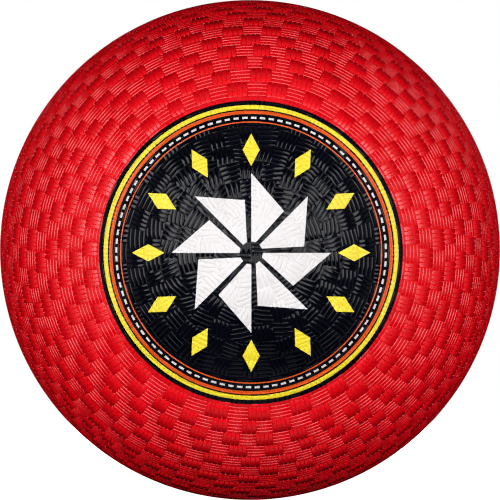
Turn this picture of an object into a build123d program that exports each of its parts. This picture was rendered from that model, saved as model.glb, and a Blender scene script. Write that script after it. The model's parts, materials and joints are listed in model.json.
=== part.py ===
from build123d import *
import os
from math import cos, pi, radians, sin

# A moulded rubber playground ball with a nylon-wound bladder, a needle valve and a printed badge.
# Millimetres. The origin is the centre of the ball and +Z is up. The printed badge faces -Y and
# the valve lies on the opposite pole, on +Y. The cover's parting line is the circle at y = 0.

# Plies, from the outside inwards. Each ply touches the next.
BALL_DIAMETER = 216.0
COVER_WALL = 1.5
WINDING_WALL = 0.4
BLADDER_WALL = 0.8

BALL_RADIUS = BALL_DIAMETER / 2
WINDING_RADIUS = BALL_RADIUS - COVER_WALL
BLADDER_RADIUS = WINDING_RADIUS - WINDING_WALL
AIR_RADIUS = BLADDER_RADIUS - BLADDER_WALL

# Needle valve, a stack of rubber pieces on the +Y axis
PATCH_WALL = 0.5
PATCH_SPAN = 17.0
FLANGE_WALL = 1.2
FLANGE_SPAN = 14.0
NECK_SPAN = 5.5
STEM_SPAN = 6.2
STEM_LENGTH = 12.5
CORE_SPAN = 3.2
CORE_RECESS = 0.7
COVER_HOLE_GAP = 0.2
BOSS_GROOVE = (9.4, 8.6)
BOSS_GROOVE_DEPTH = 0.4
LIP_SPAN = 4.4
LIP_HEIGHT = 2.5
NEEDLE_BORE_RADIUS = 1.1
NEEDLE_BORE_LENGTH = 8.0
FUNNEL_RADIUS = 2.1
FUNNEL_DEPTH = 1.0

PATCH_RADIUS = AIR_RADIUS - PATCH_WALL
FLANGE_RADIUS = PATCH_RADIUS - FLANGE_WALL
STEM_END = FLANGE_RADIUS - STEM_LENGTH
CORE_FACE = BALL_RADIUS - CORE_RECESS
BORE_MOUTH = CORE_FACE - FUNNEL_DEPTH

# Badge: radii are measured square to the ball's axis. The ink lies flush in the cover.
INK_WALL = 0.2
BADGE_RADIUS = 65.6
YELLOW_RING = (63.7, 61.9)
ORANGE_RING = (61.3, 59.9)
ORANGE_LINE = (56.65, 56.15)
DASH_COUNT = 96
DASH_RADIUS = 58.2
DASH_WIDTH = 0.85
DASH_SHARE = 0.6
DIAMOND_COUNT = 12
DIAMOND_RADIUS = 44.5
DIAMOND_LENGTH = 14.0
DIAMOND_WIDTH = 7.4
BLADE_COUNT = 8
BLADE_HUB = 5.0
BLADE_TIP = 34.5
BLADE_SWEEP = 38.0
BLADE_SHOULDER = 23.0


def ply(outer_radius, wall):
    """A hollow sphere."""
    return Sphere(outer_radius) - Sphere(outer_radius - wall)


def on_valve_axis(radius, low, high):
    """A cylinder on the +Y axis, from y = low to y = high."""
    return Pos(0, (low + high) / 2, 0) * Rot(90, 0, 0) * Cylinder(radius, high - low)


def polar(radius, degrees):
    """A point of the badge, at a radius and an angle from the upright, clockwise."""
    return (radius * sin(radians(degrees)), radius * cos(radians(degrees)))


def ring(radii):
    """A flat ring between an outer and an inner radius."""
    outer, inner = radii
    return Circle(outer) - Circle(inner)


def around(shape, count):
    """Equal copies of a flat shape, spread round the badge's centre."""
    return Sketch() + [Rot(0, 0, -360 * i / count) * shape for i in range(count)]


def diamonds():
    """The ring of long diamonds."""
    half_length = DIAMOND_LENGTH / 2
    half_width = DIAMOND_WIDTH / 2
    outline = [(0, half_length), (half_width, 0), (0, -half_length), (-half_width, 0)]
    diamond = make_face(Polyline(*outline, close=True))
    return around(Pos(0, DIAMOND_RADIUS) * diamond, DIAMOND_COUNT)


def pinwheel():
    """The central wheel of swept blades."""
    half_pitch = 180 / BLADE_COUNT
    outline = [
        polar(BLADE_HUB, 0),
        polar(BLADE_TIP, 0),
        polar(BLADE_SHOULDER, BLADE_SWEEP),
        polar(BLADE_HUB, half_pitch),
    ]
    return around(make_face(Polyline(*outline, close=True)), BLADE_COUNT)


def dashes():
    """The broken white line."""
    dash_length = DASH_SHARE * 2 * pi * DASH_RADIUS / DASH_COUNT
    return around(Pos(0, DASH_RADIUS) * Rectangle(dash_length, DASH_WIDTH), DASH_COUNT)


def ink(outlines):
    """A film of ink over a flat outline, following the front of the ball."""
    reach = BALL_RADIUS + 1
    return extrude(Plane.XZ * outlines, amount=reach) & ply(BALL_RADIUS, INK_WALL)


def badge():
    """The four inks, side by side."""
    yellow = ink(ring(YELLOW_RING) + diamonds())
    orange = ink(ring(ORANGE_RING) + ring(ORANGE_LINE))
    white = ink(dashes() + pinwheel())
    navy = ink(Circle(BADGE_RADIUS)) - yellow - orange - white
    return {
        "print_navy": navy,
        "print_yellow": yellow,
        "print_orange": orange,
        "print_white": white,
    }


def cover_front_half():
    """The half of the cover with the badge, recessed by the thickness of the ink."""
    half = split(ply(BALL_RADIUS, COVER_WALL), Plane.XZ, keep=Keep.TOP)
    return half - ink(Circle(BADGE_RADIUS))


def cover_rear_half():
    """The half of the cover with the valve opening, inside a ring groove that marks its boss."""
    half = split(ply(BALL_RADIUS, COVER_WALL), Plane.XZ, keep=Keep.BOTTOM)
    outer, inner = BOSS_GROOVE
    ring_tube = on_valve_axis(outer, 0, BALL_RADIUS + 1) - on_valve_axis(inner, 0, BALL_RADIUS + 1)
    groove = ply(BALL_RADIUS + 1, 1 + BOSS_GROOVE_DEPTH) & ring_tube
    opening = on_valve_axis(CORE_SPAN + COVER_HOLE_GAP, 0, BALL_RADIUS + 1)
    return half - groove - opening


def nylon_winding():
    """The wound thread, as one even layer that leaves the valve's neck clear."""
    return ply(WINDING_RADIUS, WINDING_WALL) - on_valve_axis(NECK_SPAN, 0, BALL_RADIUS)


def bladder():
    """The airtight inner ball."""
    return ply(BLADDER_RADIUS, BLADDER_WALL) - on_valve_axis(NECK_SPAN, 0, BALL_RADIUS)


def valve_patch():
    """The round patch that strengthens the bladder around the valve, on its inside."""
    disc = ply(AIR_RADIUS, PATCH_WALL) & on_valve_axis(PATCH_SPAN, 0, BALL_RADIUS)
    return disc - on_valve_axis(NECK_SPAN, 0, BALL_RADIUS)


def valve_housing():
    """A flanged tube: the neck fills the holes in the plies and the stem hangs inside."""
    neck = on_valve_axis(NECK_SPAN, FLANGE_RADIUS - 1, BALL_RADIUS) & Sphere(WINDING_RADIUS)
    flange = ply(PATCH_RADIUS, FLANGE_WALL) & on_valve_axis(FLANGE_SPAN, 0, BALL_RADIUS)
    stem = on_valve_axis(STEM_SPAN, STEM_END, FLANGE_RADIUS)
    return neck + flange + stem - on_valve_axis(CORE_SPAN, 0, BALL_RADIUS)


def valve_core():
    """The plug that seals on the needle: a blind bore with a funnel, and a lip behind the stem."""
    plug = on_valve_axis(CORE_SPAN, STEM_END, CORE_FACE)
    lip = on_valve_axis(LIP_SPAN, STEM_END - LIP_HEIGHT, STEM_END)
    bore = on_valve_axis(NEEDLE_BORE_RADIUS, BORE_MOUTH - NEEDLE_BORE_LENGTH, BORE_MOUTH)
    cone = Cone(FUNNEL_RADIUS, NEEDLE_BORE_RADIUS, FUNNEL_DEPTH)
    funnel = Pos(0, CORE_FACE - FUNNEL_DEPTH / 2, 0) * Rot(90, 0, 0) * cone
    return plug + lip - bore - funnel


def main():
    """Write one STEP file for each piece."""
    pieces = {
        "cover_front_half": cover_front_half(),
        "cover_rear_half": cover_rear_half(),
        "nylon_winding": nylon_winding(),
        "bladder": bladder(),
        "valve_patch": valve_patch(),
        "valve_housing": valve_housing(),
        "valve_core": valve_core(),
        **badge(),
    }
    os.makedirs("parts", exist_ok=True)
    for name, shape in pieces.items():
        export_step(shape, f"parts/{name}.step")


main()
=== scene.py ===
import json
import random

import bmesh
import bpy
import numpy as np
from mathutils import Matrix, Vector

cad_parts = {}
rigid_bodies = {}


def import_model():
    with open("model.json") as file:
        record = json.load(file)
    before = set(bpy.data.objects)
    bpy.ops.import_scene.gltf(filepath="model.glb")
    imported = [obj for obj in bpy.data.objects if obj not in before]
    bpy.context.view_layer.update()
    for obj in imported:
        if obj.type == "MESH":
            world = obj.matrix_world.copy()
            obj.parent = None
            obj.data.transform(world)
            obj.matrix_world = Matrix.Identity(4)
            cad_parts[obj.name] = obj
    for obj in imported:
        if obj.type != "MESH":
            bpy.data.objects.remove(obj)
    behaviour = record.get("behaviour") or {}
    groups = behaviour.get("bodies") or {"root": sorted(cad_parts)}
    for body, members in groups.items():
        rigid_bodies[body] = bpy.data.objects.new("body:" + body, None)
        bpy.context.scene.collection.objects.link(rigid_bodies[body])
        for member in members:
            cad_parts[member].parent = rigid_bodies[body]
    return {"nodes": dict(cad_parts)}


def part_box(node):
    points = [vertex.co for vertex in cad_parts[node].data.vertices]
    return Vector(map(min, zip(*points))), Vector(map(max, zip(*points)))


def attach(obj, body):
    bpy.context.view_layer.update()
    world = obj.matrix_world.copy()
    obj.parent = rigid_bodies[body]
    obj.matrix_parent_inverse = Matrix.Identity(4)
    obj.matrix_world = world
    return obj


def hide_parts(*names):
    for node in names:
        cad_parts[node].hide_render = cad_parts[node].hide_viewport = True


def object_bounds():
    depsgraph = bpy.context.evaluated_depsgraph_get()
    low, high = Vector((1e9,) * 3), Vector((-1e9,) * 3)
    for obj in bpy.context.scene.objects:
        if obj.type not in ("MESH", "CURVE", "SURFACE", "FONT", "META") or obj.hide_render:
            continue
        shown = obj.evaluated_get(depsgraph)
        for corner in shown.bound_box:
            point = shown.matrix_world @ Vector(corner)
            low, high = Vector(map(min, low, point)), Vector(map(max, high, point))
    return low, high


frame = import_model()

# The looks of a moulded rubber playground ball. Metres, in the CAD's frame: the ball's centre is the
# origin, the badge faces -Y and the valve lies on +Y. A place on a half of the ball is given by its
# angle from that half's pole, "polar", and its angle round the Y axis, "turn", clockwise from the top
# as the front shows it.
cad_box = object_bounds()
low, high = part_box("cover_rear_half")
MM = 0.001
QUARTER_TURN = np.pi / 2
FULL_TURN = 2 * np.pi
RADIUS = (high.x - low.x) / 2
RELIEF = 0.42 * MM
BASE = RADIUS - RELIEF
SEED = 21

# Weave: rows of tiles round the pole, each tile a bundle of ribs laid along its row or across it. The
# badge and the valve's boss take the place of the cover's first rows.
ROWS = 21
ROW_PITCH = QUARTER_TURN / ROWS
EQUATOR_TILES = 86
POLE_TILES = 4
BADGE_ROWS = 9
BOSS_ROWS = 2
SECTORS = 3

# How the tiles stray. A row starts a share of a tile further round than the row nearer the pole, its
# tiles' widths are evened out and then scattered, and the rows wave: (waves round the ball, share, phase).
SLANT = 0.15
EVENING_PASSES = 4
SPAN_SCATTER = (0.95, 1.05)
WIDTH_SCATTER = (0.97, 1.03)
WAVE_ANGLE = np.radians(1.1)
WAVES = [(2, 0.5, 0.7), (3, 0.6, 2.1), (7, 0.25, 0.0)]

# Ribs. Those across a row reach into the flank of the tile that they meet.
RIBS_IN_ROW = 4
RIB_PITCH = RADIUS * ROW_PITCH / RIBS_IN_ROW
RIB_SHARE = 0.97
END_GAP = 0.05 * MM
INNER_REACH = 0.5 * MM
SHORTEST_RIB = 1.5 * MM
PARALLEL = 0.01
TILE_HEIGHTS = (0.92, 1.0)
RIB_HEIGHTS = (0.94, 1.0)
RIB_WIDTHS = (0.96, 1.0)

# One half of a rib's section, from its edge inwards: (share of its half width, share of its height).
# The cover's ribs are flat with chamfered edges, narrower across a row, and the badge's are crowned.
# Their edges end a little below the skin, at the foot.
FOOT = -0.25
ALONG_HALF = [(1.0, FOOT), (0.97, 0.28), (0.75, 0.90), (0.68, 0.98), (0.55, 1.0)]
ACROSS_HALF = [(1.0, FOOT), (0.98, 0.15), (0.86, 0.90), (0.80, 0.98), (0.70, 1.0)]
BADGE_HALF = [(1.0, FOOT), (0.97, 0.15), (0.75, 0.58), (0.50, 0.83), (0.20, 0.97)]
# Along a rib: distances in from each end, and the same heights
END_PLACES = np.array([0.0, 0.05, 0.20]) * MM
END_HEIGHTS = np.array([FOOT, 0.5, 0.96])

# Skin under the cover's ribs. From a share of the way to the parting line on, it rises and the ribs
# get shallower. At the parting line it ends in a thin fin.
SKIN_SPOKES = 80
SKIN_CIRCLES = 40
SKIN_TUCK = 0.3 * MM
RISE_FROM = 0.86
RISE_SHARE = 0.45
PARTING_WIDTH = 0.35 * MM
PARTING_HEIGHT = 0.6

# Badge's print, radii square to the ball's axis
navy_low, navy_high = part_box("print_navy")
BADGE_RADIUS = (navy_high.x - navy_low.x) / 2
YELLOW_RING = (61.9 * MM, 63.7 * MM)
ORANGE_RING = (59.9 * MM, 61.3 * MM)
DASH_RING = (57.8 * MM, 58.65 * MM)
ORANGE_LINE = (56.15 * MM, 56.65 * MM)
DASHES = 96
DASH_SHARE = 0.6
DIAMONDS = 12
DIAMOND_RADIUS = 44.5 * MM
DIAMOND_LENGTH = 14.0 * MM
DIAMOND_WIDTH = 7.4 * MM
BLADES = 8
BLADE_HUB = 5.0 * MM
BLADE_TIP = 34.5 * MM
BLADE_SHOULDER = 23.0 * MM
BLADE_SWEEP = np.radians(38.0)

# Badge's relief: its skin, the bead at its rim, and how many degrees its tiles lean by at random
BADGE_RELIEF = 0.22 * MM
BADGE_SPOKES = 192
BADGE_CIRCLES = 56
FIRST_CIRCLE = 0.02
BEAD_STEPS = 6
BEAD_HEIGHT = 0.9
SWING = 4
POLE_SWING = 50
SWING_ROWS = 6.5
POLE_TILE = 0.41 * RADIUS * ROW_PITCH
POLE_LEAN = 0.2
CUT_TOLERANCE = 0.01 * MM
CUT_MARGIN = 1 * MM

# The valve's boss, from its hole outwards over a ring groove: (distance from the Y axis, depth)
BOSS_SPOKES = 180
BOSS_OUTLINE = [
    (3.4 * MM, 1.5 * MM),
    (3.4 * MM, 0.35 * MM),
    (3.5 * MM, 0.12 * MM),
    (3.8 * MM, 0.0),
    (8.3 * MM, 0.0),
    (8.6 * MM, 0.1 * MM),
    (8.75 * MM, 0.4 * MM),
    (9.25 * MM, 0.4 * MM),
    (9.4 * MM, 0.1 * MM),
    (9.7 * MM, 0.0),
    (14.6 * MM, 0.0),
    (15.2 * MM, 0.15 * MM),
    (15.5 * MM, RELIEF + 0.1 * MM),
]

# Materials: the noises behind colour, gloss and grain, and how far each goes
GLOSS_IOR = 1.7
CLOUD_SCALE = 60
CLOUD_DETAIL = 5
CLOUD_EDGES = (0.3, 0.7)
GLOSS_SCALE = 350
GLOSS_DETAIL = 3
GLOSS_SPREAD = (-0.06, 0.08)
GRAIN_SCALE = 2500
GRAIN_DETAIL = 2
GRAIN_DEPTH = 0.1 * MM

# Stage and camera. The left side is lit a little more than the right.
FLOOR_SIZE = 8
FLOOR_COLOUR = (0.8, 0.8, 0.8, 1)
FLOOR_ROUGHNESS = 0.9
FLOOR_GLOW = 1.0
WHITE = (1, 1, 1, 1)
SIDE_SHARES = ((-1, 1.0), (1, 0.9))
CAMERA_DISTANCE = 1.0
VIEW_UP = np.radians(0.69)
VIEW_SIDE = np.radians(-0.3)
FILTER_WIDTH = 1.2

rng = random.Random(SEED)


# ---------------------------------------------------------------- places on the ball

def wobble(polar, turn):
    """How far the rows stray from true circles, as a change of polar angle."""
    swell = np.sin(polar) ** 2 * np.sin(2 * polar)
    wave = sum(share * np.sin(count * turn + phase) for count, share, phase in WAVES)
    return WAVE_ANGLE * swell * wave


def place(polar, turn, radius, side):
    """Points at a polar angle, turn and radius. side is -1 on the front half and 1 on the rear."""
    across = radius * np.sin(polar)
    return np.stack([across * np.sin(turn), side * radius * np.cos(polar), across * np.cos(turn)], -1)


def mesh_piece(name, points, faces, material, nodes):
    """A smooth-shaded piece on the root body that stands for the named CAD nodes."""
    mesh = bpy.data.meshes.new(name)
    mesh.from_pydata(points, [], faces)
    mesh.validate()
    mesh.shade_smooth()
    piece = bpy.data.objects.new(name, mesh)
    bpy.context.collection.objects.link(piece)
    mesh.materials.append(material)
    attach(piece, "root")
    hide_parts(*nodes)
    return piece


def grid_faces(rows, columns, first=0, closed=False):
    """Quads between the points of a grid, and round to the first column again where it is closed."""
    i = np.arange(rows - 1)[:, None] * columns
    j = np.arange(columns if closed else columns - 1)[None, :]
    k = (j + 1) % columns
    quads = np.stack([i + j, i + k, i + columns + k, i + columns + j], -1)
    return quads.reshape(-1, 4) + first


# ---------------------------------------------------------------- the weave

def widen_row(widths, ways):
    """Adds one tile to a row: between two neighbours that run the same way, or else, where the tiles are
    widest, beside one that it copies."""
    doubles = [i for i in range(len(ways) - 1) if ways[i] == ways[i + 1]]
    if doubles:
        first = rng.choice(doubles)
        widths[first:first + 2] = [sum(widths[first:first + 2]) / 3] * 3
        ways.insert(first + 1, not ways[first])
    else:
        spans = [sum(widths[i:i + 3]) * rng.uniform(*SPAN_SCATTER) for i in range(len(widths) - 2)]
        first = spans.index(max(spans))
        widths[first:first + 3] = [sum(widths[first:first + 3]) / 4] * 4
        double = first + rng.randrange(3)
        ways.insert(double, ways[double])


def lay_row(row, inner):
    """The tiles of one row: (start turn, end turn, whether the ribs run along the row). They begin as
    the tiles of the row nearer the pole with their ribs turned, and more are put in between them."""
    first = rng.randrange(len(inner))
    passed = [(start + FULL_TURN, end + FULL_TURN, along) for start, end, along in inner[:first]]
    inner = inner[first:] + passed
    widths = [end - start for start, end, _ in inner]
    ways = [not along for _, _, along in inner]
    pairs = round(EQUATOR_TILES / 2 * np.sin((row + 0.5) * ROW_PITCH))
    while len(widths) < 2 * pairs:
        widen_row(widths, ways)
    widths = np.array(widths)
    for _ in range(EVENING_PASSES):
        widths += (np.roll(widths, 1) - 2 * widths + np.roll(widths, -1)) / 4
    widths *= [rng.uniform(*WIDTH_SCATTER) for _ in widths]
    ends = inner[0][0] + SLANT * widths.mean() + np.cumsum(widths) / widths.sum() * FULL_TURN
    starts = [ends[-1] - FULL_TURN, *ends[:-1]]
    return list(zip(starts, ends, ways))


def lay_rows():
    """All the rows of one half, from its pole to the parting line."""
    rows = [[(i * QUARTER_TURN, (i + 1) * QUARTER_TURN, i % 2 == 0) for i in range(POLE_TILES)]]
    for row in range(1, ROWS):
        rows.append(lay_row(row, rows[-1]))
    return rows


def cover_base(polar):
    """The radius under the cover's ribs."""
    rise = np.clip((polar / QUARTER_TURN - RISE_FROM) / (1 - RISE_FROM), 0, 1)
    return BASE + RISE_SHARE * RELIEF * rise


def badge_base(polar):
    """The radius under the badge's ribs, which are shallower than the cover's."""
    return np.full_like(polar, RADIUS - BADGE_RELIEF)


def rib_span(offset, lean, half_u, half_v):
    """Where a leaning rib enters and leaves its tile, as distances along it."""
    enter, leave = -np.inf, np.inf
    limits = (
        (np.cos(lean), -offset * np.sin(lean), half_u),
        (np.sin(lean), offset * np.cos(lean), half_v),
    )
    for way, start, half in limits:
        if abs(way) > PARALLEL:
            ends = sorted(((-half - start) / way, (half - start) / way))
            enter, leave = max(enter, ends[0]), min(leave, ends[1])
    return enter, leave


def tile_ribs(half_u, half_v, lean, half_section, reach=0.0):
    """The ribs of one tile, as grids of places u along the row, v away from the pole, and heights. Each
    rib starts a reach before its tile does."""
    shares = [share for share, _ in half_section]
    across = np.array([-share for share in shares] + shares[::-1])
    heights = [height for _, height in half_section]
    section_heights = heights + heights[::-1]
    end_heights = np.concatenate([END_HEIGHTS, [1.0], END_HEIGHTS[::-1]])
    stack = half_v * abs(np.cos(lean)) + half_u * abs(np.sin(lean))
    count = round(2 * stack / RIB_PITCH)
    tile_height = RELIEF * rng.uniform(*TILE_HEIGHTS)
    for i in range(count):
        offset = (2 * i + 1 - count) * stack / count
        enter, leave = rib_span(offset, lean, half_u, half_v)
        height = tile_height * rng.uniform(*RIB_HEIGHTS)
        half_width = stack / count * RIB_SHARE * rng.uniform(*RIB_WIDTHS)
        if leave - enter < SHORTEST_RIB:
            continue
        enter, leave = enter - reach + END_GAP, leave - END_GAP
        along = np.concatenate([enter + END_PLACES, [(enter + leave) / 2], leave - END_PLACES[::-1]])
        t, w = np.meshgrid(along, offset + half_width * across)
        lift = np.minimum(*np.meshgrid(end_heights, section_heights)) * height
        yield t * np.cos(lean) - w * np.sin(lean), t * np.sin(lean) + w * np.cos(lean), lift


def row_ribs(row, tiles, swing=0.0):
    """The ribs of some tiles of a row, as grids of polar angle, turn and height. Only the badge's tiles
    swing."""
    middle = (row + 0.5) * ROW_PITCH
    around = RADIUS * np.sin(middle)
    for start, end, along in tiles:
        centre = (start + end) / 2 % FULL_TURN
        lean = (0.0 if along else QUARTER_TURN) + rng.uniform(-swing, swing)
        if swing:
            section, reach = BADGE_HALF, 0.0
        elif along:
            section, reach = ALONG_HALF, 0.0
        else:
            section, reach = ACROSS_HALF, INNER_REACH
        half_u = (end - start) * around / 2
        half_v = RADIUS * ROW_PITCH / 2
        for u, v, lift in tile_ribs(half_u, half_v, lean, section, reach):
            polar = middle + v / RADIUS
            turn = centre + u / around
            yield polar + wobble(polar, turn), turn, lift


def gather(grids, base_of):
    """Joins grids of polar angle, turn and height into one list of points, with its faces. Heights are
    scaled so that the ribs' tops reach the ball's radius from whatever base they have."""
    faces = []
    first = 0
    for polar, _, _ in grids:
        faces.append(grid_faces(*polar.shape, first))
        first += polar.size
    polar, turn, lift = (np.concatenate([grid[k].ravel() for grid in grids]) for k in range(3))
    base = base_of(polar)
    return polar, turn, base + lift * (RADIUS - base) / RELIEF, np.concatenate(faces)


# ---------------------------------------------------------------- the cover

def skin(first_polar, sector):
    """A sector of the smooth skin under the ribs, from a polar angle to the parting line's fin."""
    turn = (sector + np.linspace(0, 1, SKIN_SPOKES + 1)) * FULL_TURN / SECTORS
    start = first_polar + wobble(first_polar, turn)
    tuck = start - SKIN_TUCK / RADIUS
    last = QUARTER_TURN - PARTING_WIDTH / RADIUS
    share = np.linspace(0, 1, SKIN_CIRCLES)[:, None]
    fin = np.full((1, turn.size), QUARTER_TURN)
    polar = np.concatenate([tuck[None], start + (last - start) * share, fin])
    lift = np.zeros_like(polar)
    lift[0] = FOOT * RELIEF
    lift[-1] = PARTING_HEIGHT * RELIEF
    return polar, np.broadcast_to(turn, polar.shape), lift


def sector_of(tile):
    """The sector that the middle of a tile lies in."""
    start, end, _ = tile
    return (start + end) / 2 * SECTORS // FULL_TURN % SECTORS


def cover_sector(name, rows, first_row, side, sector, material, node):
    """One sector of half of the red cover: skin and ribs."""
    grids = [skin(first_row * ROW_PITCH, sector)]
    for row in range(first_row, ROWS):
        grids += row_ribs(row, [tile for tile in rows[row] if sector_of(tile) == sector])
    polar, turn, radius, faces = gather(grids, cover_base)
    if side > 0:
        # The rear half is laid out as a mirror image, so its faces are turned round
        faces = faces[:, ::-1]
    points = place(polar, turn, radius, side)
    mesh_piece(name, points.tolist(), faces.tolist(), material, [node])


# ---------------------------------------------------------------- the badge's relief

def swing_of(row):
    """How far the tiles of a row lean at random. It grows towards the pole."""
    return np.radians(SWING + POLE_SWING * max(0.0, 1 - row / SWING_ROWS))


def pole_ribs():
    """The four tiles that meet at the front pole."""
    half = POLE_TILE
    for i, (x, z) in enumerate(((half, half), (half, -half), (-half, -half), (-half, half))):
        lean = QUARTER_TURN * (i % 2) + rng.uniform(-POLE_LEAN, POLE_LEAN)
        for u, v, lift in tile_ribs(half, half, lean, BADGE_HALF):
            yield np.hypot(x + u, z + v) / RADIUS, np.arctan2(x + u, z + v), lift


def badge_skin():
    """The smooth skin under the badge's ribs, out to the cover's first row, with a bead at its rim."""
    turn = np.linspace(0, FULL_TURN, BADGE_SPOKES + 1)
    edge = np.arcsin(BADGE_RADIUS / RADIUS)
    last = BADGE_ROWS * ROW_PITCH
    rim = last + wobble(last, turn)
    inside = np.linspace(FIRST_CIRCLE, 1, BADGE_CIRCLES)[:, None] * np.full(turn.size, edge)
    share = np.linspace(0, 1, BEAD_STEPS + 1)[1:, None]
    polar = np.concatenate([inside, edge + (rim - edge) * share])
    bead = RELIEF * (BEAD_HEIGHT * np.sin(np.pi * share) - share ** 2) * np.ones(turn.size)
    lift = np.concatenate([np.zeros_like(inside), bead])
    return polar, np.broadcast_to(turn, polar.shape), lift


def unrolled_badge(rows):
    """The badge's relief, unrolled: x its turn, y its distance from the ball's centre, z its radius square
    to the axis. Every point carries the normal that it has on the ball."""
    grids = [badge_skin()]
    for row in range(1, BADGE_ROWS):
        grids += row_ribs(row, rows[row], swing_of(row))
    grids += pole_ribs()
    polar, turn, radius, faces = gather(grids, badge_base)
    across = RADIUS * np.sin(polar)
    depth = np.sqrt(radius ** 2 - across ** 2)
    mesh = bpy.data.meshes.new("badge")
    mesh.from_pydata(np.stack([across * np.sin(turn), -depth, across * np.cos(turn)], -1), [], faces)
    normals = np.zeros(3 * len(polar))
    mesh.vertex_normals.foreach_get("vector", normals)
    mesh.attributes.new("normal", "FLOAT_VECTOR", "POINT").data.foreach_set("vector", normals)
    mesh.vertices.foreach_set("co", np.stack([turn * RADIUS, radius, across], -1).ravel())
    work = bmesh.new()
    work.from_mesh(mesh)
    bpy.data.meshes.remove(mesh)
    return work


def roll_up(work):
    """Turns the unrolled badge into a flat one: x and z as the front shows them, y as it was."""
    for point in work.verts:
        turn = point.co.x / RADIUS
        across = point.co.z
        point.co.x = across * np.sin(turn)
        point.co.z = across * np.cos(turn)


def curve(work):
    """Lays the flat badge on the ball, by its points' distances from the ball's centre."""
    for point in work.verts:
        point.co.y = -np.sqrt(point.co.y ** 2 - point.co.x ** 2 - point.co.z ** 2)


# ---------------------------------------------------------------- the badge's print

def flat(radius, turn):
    """A point of the badge as the front shows it: (x, z)."""
    return (radius * np.sin(turn), radius * np.cos(turn))


def diamond_outlines():
    """The diamonds' corners."""
    outlines = []
    half_turn = np.arctan2(DIAMOND_WIDTH / 2, DIAMOND_RADIUS)
    waist = np.hypot(DIAMOND_WIDTH / 2, DIAMOND_RADIUS)
    for i in range(DIAMONDS):
        turn = FULL_TURN * i / DIAMONDS
        outlines.append([
            flat(DIAMOND_RADIUS + DIAMOND_LENGTH / 2, turn),
            flat(waist, turn + half_turn),
            flat(DIAMOND_RADIUS - DIAMOND_LENGTH / 2, turn),
            flat(waist, turn - half_turn),
        ])
    return outlines


def blade_outlines():
    """The corners of the pinwheel's blades."""
    outlines = []
    for i in range(BLADES):
        turn = FULL_TURN * i / BLADES
        outlines.append([
            flat(BLADE_HUB, turn),
            flat(BLADE_TIP, turn),
            flat(BLADE_SHOULDER, turn + BLADE_SWEEP),
            flat(BLADE_HUB, turn + np.pi / BLADES),
        ])
    return outlines


def slice_mesh(mesh, faces, point, normal):
    """Cuts faces along a plane, and gives the faces that are there afterwards."""
    edges = {edge for face in faces for edge in face.edges}
    corners = {corner for face in faces for corner in face.verts}
    cut = bmesh.ops.bisect_plane(
        mesh, geom=[*faces, *edges, *corners], dist=CUT_TOLERANCE, plane_co=point, plane_no=normal
    )
    cut_corners = [part for part in cut["geom_cut"] if isinstance(part, bmesh.types.BMVert)]
    return {*faces, *(face for corner in cut_corners for face in corner.link_faces)}


def cut_rings(mesh):
    """Cuts the unrolled badge along the printed rings and dashes."""
    for radius in (*ORANGE_LINE, *DASH_RING, *ORANGE_RING, *YELLOW_RING, BADGE_RADIUS):
        slice_mesh(mesh, mesh.faces[:], (0, 0, radius), (0, 0, 1))
    dashed = [face for face in mesh.faces if DASH_RING[0] < face.calc_center_median().z < DASH_RING[1]]
    # Tiles at the ends reach past the full turn, so the dashes go on a little beyond it
    for i in range(-2, DASHES + 2):
        for share in (0, DASH_SHARE):
            turn = (i + share) * FULL_TURN / DASHES
            dashed = slice_mesh(mesh, dashed, (turn * RADIUS, 0, 0), (1, 0, 0))


def cut_outline(mesh, outline):
    """Cuts the flat badge along the sides of a convex outline."""
    corners = np.array(outline)
    centre = corners.mean(0)
    reach = np.hypot(*(corners - centre).T).max() + CUT_MARGIN
    faces = []
    for face in mesh.faces:
        middle = face.calc_center_median()
        if abs(middle.x - centre[0]) < reach and abs(middle.z - centre[1]) < reach:
            faces.append(face)
    for (x0, z0), (x1, z1) in zip(outline, outline[1:] + outline[:1]):
        faces = slice_mesh(mesh, faces, (x0, 0, z0), Vector((z0 - z1, 0, x1 - x0)).normalized())


def within(outline, x, z):
    """Which points of the flat badge lie inside a convex outline given clockwise."""
    inside = np.ones(x.shape, bool)
    for (x0, z0), (x1, z1) in zip(outline, outline[1:] + outline[:1]):
        inside &= (x1 - x0) * (z - z0) - (z1 - z0) * (x - x0) < 0
    return inside


def paint(x, z, diamonds, blades):
    """Which ink is printed at each point of the badge, or "rim" where the cover's rubber shows."""
    radius = np.hypot(x, z)
    ink = np.full(x.shape, "navy", dtype="<U6")
    for outline in diamonds:
        ink[within(outline, x, z)] = "yellow"
    for outline in blades:
        ink[within(outline, x, z)] = "white"
    dash = np.arctan2(x, z) / FULL_TURN * DASHES % 1 < DASH_SHARE
    ink[(radius > DASH_RING[0]) & (radius < DASH_RING[1]) & dash] = "white"
    for inner, outer in (ORANGE_LINE, ORANGE_RING):
        ink[(radius > inner) & (radius < outer)] = "orange"
    ink[(radius > YELLOW_RING[0]) & (radius < YELLOW_RING[1])] = "yellow"
    ink[radius > BADGE_RADIUS] = "rim"
    return ink


def ink_piece(ink, chosen, places, normals, materials):
    """The piece for one ink, or for the rim of rubber round them, made of the chosen faces."""
    used = sorted({index for face in chosen for index in face})
    number = {index: i for i, index in enumerate(used)}
    name = "cover_badge_rim" if ink == "rim" else f"ink_{ink}"
    slot_name = "cover_rubber" if ink == "rim" else name
    node = "cover_front_half" if ink == "rim" else f"print_{ink}"
    points = [places[index] for index in used]
    faces = [[number[index] for index in face] for face in chosen]
    piece = mesh_piece(name, points, faces, materials[slot_name], [node])
    piece.data.normals_split_custom_set_from_vertices([normals[index] for index in used])


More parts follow.
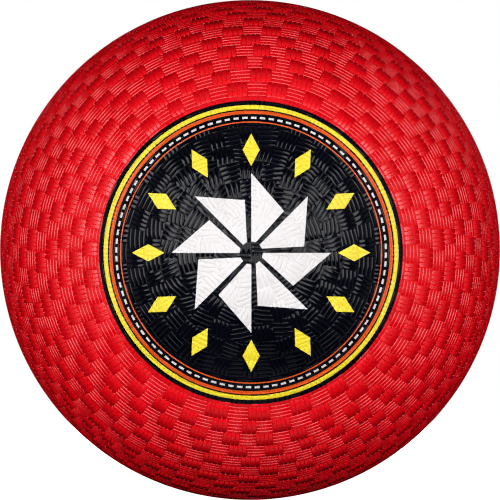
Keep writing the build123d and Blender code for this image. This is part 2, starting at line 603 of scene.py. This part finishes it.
def badge(rows, materials):
    """The badge: one relief, cut along its print and parted into a piece for each ink."""
    work = unrolled_badge(rows)
    cut_rings(work)
    roll_up(work)
    diamonds = diamond_outlines()
    blades = blade_outlines()
    for outline in diamonds + blades:
        cut_outline(work, outline)
    curve(work)
    work.verts.index_update()
    layer = work.verts.layers.float_vector["normal"]
    places = [tuple(point.co) for point in work.verts]
    normals = [tuple(point[layer].normalized()) for point in work.verts]
    faces = [[point.index for point in face.verts] for face in work.faces]
    middles = np.array([face.calc_center_median() for face in work.faces])
    inks = paint(middles[:, 0], middles[:, 2], diamonds, blades)
    work.free()
    for ink in ("rim", "navy", "yellow", "orange", "white"):
        chosen = [faces[i] for i in np.flatnonzero(inks == ink)]
        ink_piece(ink, chosen, places, normals, materials)


# ---------------------------------------------------------------- the valve's boss

def valve_boss(material):
    """The smooth round boss at the rear pole, with the hole for the needle."""
    distances, depths = np.array(BOSS_OUTLINE).T[:, :, None]
    turn = np.arange(BOSS_SPOKES) / BOSS_SPOKES * FULL_TURN
    across = distances * np.ones(BOSS_SPOKES)
    radius = (RADIUS - depths) * np.ones(BOSS_SPOKES)
    polar = np.arcsin(across / radius)
    points = place(polar, np.broadcast_to(turn, polar.shape), radius, 1).reshape(-1, 3)
    faces = grid_faces(*polar.shape, closed=True)[:, ::-1]
    node = "cover_rear_half"
    mesh_piece("cover_valve_boss", points.tolist(), faces.tolist(), material, [node])


# ---------------------------------------------------------------- materials

def new_material(name):
    """A material with a Principled shader, and its node tree."""
    material = bpy.data.materials.new(name)
    material.use_nodes = True
    return material, material.node_tree


def noise(tree, coordinates, scale, detail):
    """The value of a noise in the object's own space."""
    texture = tree.nodes.new("ShaderNodeTexNoise")
    texture.inputs["Scale"].default_value = scale
    texture.inputs["Detail"].default_value = detail
    tree.links.new(coordinates.outputs["Object"], texture.inputs["Vector"])
    return texture.outputs["Fac"]


def cloudy_colour(tree, coordinates, colour, deep):
    """A colour that drifts between two shades."""
    ramp = tree.nodes.new("ShaderNodeValToRGB")
    for element, edge, shade in zip(ramp.color_ramp.elements, CLOUD_EDGES, (deep, colour)):
        element.position = edge
        element.color = (*shade, 1)
    tree.links.new(noise(tree, coordinates, CLOUD_SCALE, CLOUD_DETAIL), ramp.inputs["Fac"])
    return ramp.outputs["Color"]


def uneven_roughness(tree, coordinates, roughness):
    """A roughness that strays a little to either side."""
    spread = tree.nodes.new("ShaderNodeMapRange")
    spread.inputs["To Min"].default_value = roughness + GLOSS_SPREAD[0]
    spread.inputs["To Max"].default_value = roughness + GLOSS_SPREAD[1]
    tree.links.new(noise(tree, coordinates, GLOSS_SCALE, GLOSS_DETAIL), spread.inputs["Value"])
    return spread.outputs["Result"]


def fine_grain(tree, coordinates, strength):
    """The normal of a surface with a fine grain."""
    bump = tree.nodes.new("ShaderNodeBump")
    bump.inputs["Strength"].default_value = strength
    bump.inputs["Distance"].default_value = GRAIN_DEPTH
    tree.links.new(noise(tree, coordinates, GRAIN_SCALE, GRAIN_DETAIL), bump.inputs["Height"])
    return bump.outputs["Normal"]


def rubber(name, colour, deep, roughness, grain=0.05, specular=0.6):
    """Moulded rubber, ink or thread: cloudy colour, uneven gloss and a fine grain."""
    material, tree = new_material(name)
    shader = tree.nodes["Principled BSDF"]
    shader.inputs["IOR"].default_value = GLOSS_IOR
    shader.inputs["Specular IOR Level"].default_value = specular
    coordinates = tree.nodes.new("ShaderNodeTexCoord")
    tree.links.new(cloudy_colour(tree, coordinates, colour, deep), shader.inputs["Base Color"])
    tree.links.new(uneven_roughness(tree, coordinates, roughness), shader.inputs["Roughness"])
    tree.links.new(fine_grain(tree, coordinates, grain), shader.inputs["Normal"])
    return material


MATERIALS = {
    "cover_rubber": rubber("red_rubber", (0.90, 0.002, 0.010), (0.80, 0.001, 0.006), 0.27, specular=1.0),
    "ink_navy": rubber("navy_ink", (0.0018, 0.0022, 0.0055), (0.0008, 0.0010, 0.003), 0.11),
    "ink_yellow": rubber("yellow_ink", (0.91, 0.75, 0.030), (0.86, 0.68, 0.022), 0.45),
    "ink_orange": rubber("orange_ink", (0.84, 0.100, 0.005), (0.77, 0.080, 0.004), 0.45),
    "ink_white": rubber("white_ink", (0.77, 0.74, 0.745), (0.70, 0.67, 0.675), 0.5),
    "bladder_rubber": rubber("bladder_black", (0.03, 0.03, 0.03), (0.015, 0.015, 0.015), 0.55),
    "valve_rubber": rubber("valve_black", (0.05, 0.05, 0.055), (0.02, 0.02, 0.022), 0.5, grain=0.3),
    "nylon_thread": rubber("nylon", (0.80, 0.78, 0.72), (0.62, 0.60, 0.54), 0.6, grain=0.4),
}
INNER = {
    "nylon_winding": "nylon_thread",
    "bladder": "bladder_rubber",
    "valve_patch": "valve_rubber",
    "valve_housing": "valve_rubber",
    "valve_core": "valve_rubber",
}


# ---------------------------------------------------------------- the ball

front_rows = lay_rows()
rear_rows = lay_rows()
red = MATERIALS["cover_rubber"]
for sector in range(SECTORS):
    cover_sector(f"cover_front_{sector + 1}", front_rows, BADGE_ROWS, -1, sector, red, "cover_front_half")
    cover_sector(f"cover_rear_{sector + 1}", rear_rows, BOSS_ROWS, 1, sector, red, "cover_rear_half")
badge(front_rows, MATERIALS)
valve_boss(red)
for node, slot_name in INNER.items():
    for slot in frame["nodes"][node].material_slots:
        slot.material = MATERIALS[slot_name]


# ---------------------------------------------------------------- stage

def pale_material():
    """The floor's plain pale material. It glows, so that it looks white under any light."""
    material, tree = new_material("pale_floor")
    shader = tree.nodes["Principled BSDF"]
    shader.inputs["Base Color"].default_value = FLOOR_COLOUR
    shader.inputs["Roughness"].default_value = FLOOR_ROUGHNESS
    shader.inputs["Emission Color"].default_value = WHITE
    shader.inputs["Emission Strength"].default_value = FLOOR_GLOW
    return material


def white_world():
    """A white background that neither lights the ball nor is reflected in it."""
    world = bpy.data.worlds.new("studio")
    bpy.context.scene.world = world
    world.use_nodes = True
    background = world.node_tree.nodes["Background"]
    background.inputs["Color"].default_value = WHITE
    background.inputs["Strength"].default_value = 1.0
    world.cycles_visibility.diffuse = False
    world.cycles_visibility.glossy = False


def receivers(name, prefixes):
    """The objects that a light for gloss may shine on, by the start of their names."""
    collection = bpy.data.collections.new(name)
    for piece in bpy.data.objects:
        if piece.name.startswith(prefixes):
            collection.objects.link(piece)
    return collection


def softbox(name, at, size, power, gloss_on=None):
    """A rectangular light that faces the ball. It is either a matt one, which nothing reflects, or one for
    gloss on a collection."""
    light = bpy.data.lights.new(name, "AREA")
    light.shape = "RECTANGLE"
    light.size, light.size_y = size
    light.energy = power
    lamp = bpy.data.objects.new(name, light)
    lamp.location = at
    lamp.rotation_mode = "QUATERNION"
    lamp.rotation_quaternion = (-Vector(at)).to_track_quat("-Z", "Y")
    lamp.visible_camera = False
    if gloss_on:
        lamp.visible_diffuse = False
        lamp.light_linking.receiver_collection = gloss_on
    else:
        lamp.visible_glossy = False
    bpy.context.collection.objects.link(lamp)


bpy.ops.mesh.primitive_plane_add(size=FLOOR_SIZE, location=(0, 0, cad_box[0].z))
floor = bpy.context.object
floor.name = "floor"
floor.data.materials.append(pale_material())
floor.visible_diffuse = False
floor.visible_glossy = False
floor.visible_shadow = False
white_world()

shown = receivers("all_pieces", ("cover_", "ink_", "valve"))
cover = receivers("red_pieces", ("cover_",))
rear = receivers("rear_pieces", ("cover_rear", "cover_valve", "valve"))
softbox("front_box", at=(0.0, -2.8, 0.08), size=(1.3, 1.3), power=50)
softbox("front_scrim", at=(0.0, -2.8, 0.1), size=(1.4, 1.4), power=3.3, gloss_on=shown)
softbox("front_wide", at=(0.0, -2.8, 0.2), size=(2.6, 2.4), power=16, gloss_on=cover)
softbox("top_sheen", at=(0.0, -0.25, 1.6), size=(1.2, 1.2), power=0.23, gloss_on=shown)
softbox("bottom_sheen", at=(0.0, -0.25, -1.6), size=(1.2, 1.2), power=0.35, gloss_on=shown)
softbox("rear_scrim", at=(0.0, 2.8, 0.3), size=(1.6, 1.6), power=4, gloss_on=rear)
for side, share in SIDE_SHARES:
    softbox("side_box", at=(1.2 * side, -1.1, 0.2), size=(0.6, 1.4), power=15.5 * share)
    softbox("side_gloss", at=(1.2 * side, -1.1, 0.2), size=(0.6, 1.4), power=4.8 * share, gloss_on=shown)
    softbox("line_box", at=(1.0 * side, -1.75, 0.45), size=(0.9, 1.7), power=6 * share, gloss_on=shown)
    softbox("side_sheen", at=(1.6 * side, -0.25, 0.1), size=(1.2, 2.2), power=0.7 * share, gloss_on=shown)
    softbox("rear_fill", at=(0.65 * side, 2.6, 0.4), size=(0.8, 0.8), power=48)


# ---------------------------------------------------------------- camera

camera_data = bpy.data.cameras.new("camera")
camera_data.type = "ORTHO"
camera_data.ortho_scale = 2 * RADIUS
camera = bpy.data.objects.new("camera", camera_data)
bpy.context.collection.objects.link(camera)
level = np.cos(VIEW_UP)
away = Vector((np.sin(VIEW_SIDE) * level, -np.cos(VIEW_SIDE) * level, np.sin(VIEW_UP)))
camera.location = away * CAMERA_DISTANCE
camera.rotation_mode = "QUATERNION"
camera.rotation_quaternion = (-away).to_track_quat("-Z", "Y")
bpy.context.scene.camera = camera
bpy.context.scene.view_settings.view_transform = "Standard"
bpy.context.scene.cycles.filter_width = FILTER_WIDTH
